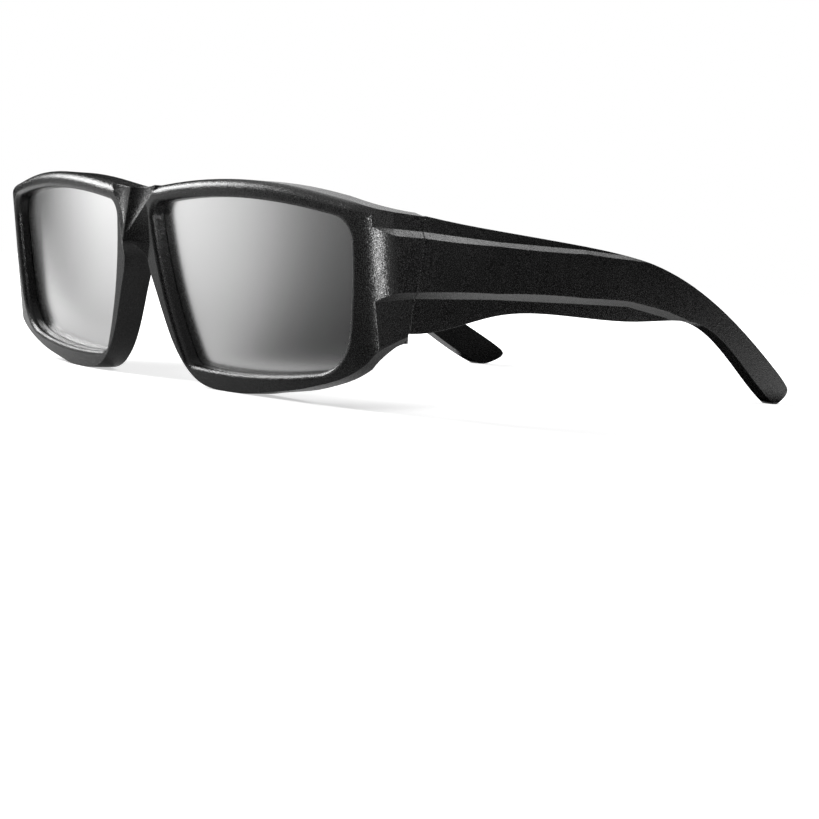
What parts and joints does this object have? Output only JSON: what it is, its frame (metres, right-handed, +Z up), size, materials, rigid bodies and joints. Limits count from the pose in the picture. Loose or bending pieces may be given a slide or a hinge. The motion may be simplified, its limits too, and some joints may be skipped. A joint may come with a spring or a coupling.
{
  "type": "eclipse glasses",
  "caption": "Wrap-style eclipse glasses: moulded black frame with silver solar filter lenses, nose flanges and folding temples on screw hinges.",
  "frame": {"origin": "centre of the open glasses' bounding box, on the surface that they stand on", "axes": "+X to the wearer's left, +Y from the lenses back to the temple tips, +Z up"},
  "size_m": [0.149, 0.1584, 0.0454],
  "materials": {
    "frame_plastic": "matte black with a fine moulded grain",
    "lens_plastic": "dark, smooth",
    "filter_coating": "silver, slightly hazy mirror",
    "screw_steel": "plain bright steel"
  },
  "bodies": {
    "front": {"front_frame": "frame_plastic", "lens_left": "lens_plastic", "lens_right": "lens_plastic", "filter_film_left": "filter_coating", "filter_film_right": "filter_coating", "hinge_screw_left": "screw_steel", "hinge_screw_right": "screw_steel"},
    "left_temple": {"temple_left": "frame_plastic"},
    "right_temple": {"temple_right": "frame_plastic"}
  },
  "joints": [
    {"name": "left_temple_fold", "type": "hinge", "parent": "front", "child": "left_temple", "pos_m": [0.0682, -0.05495, 0.02105], "axis": [0, 0, 1], "range_deg": [0, 85]},
    {"name": "right_temple_fold", "type": "hinge", "parent": "front", "child": "right_temple", "pos_m": [-0.0682, -0.05495, 0.02105], "axis": [0, 0, -1], "range_deg": [0, 79]}
  ]
}
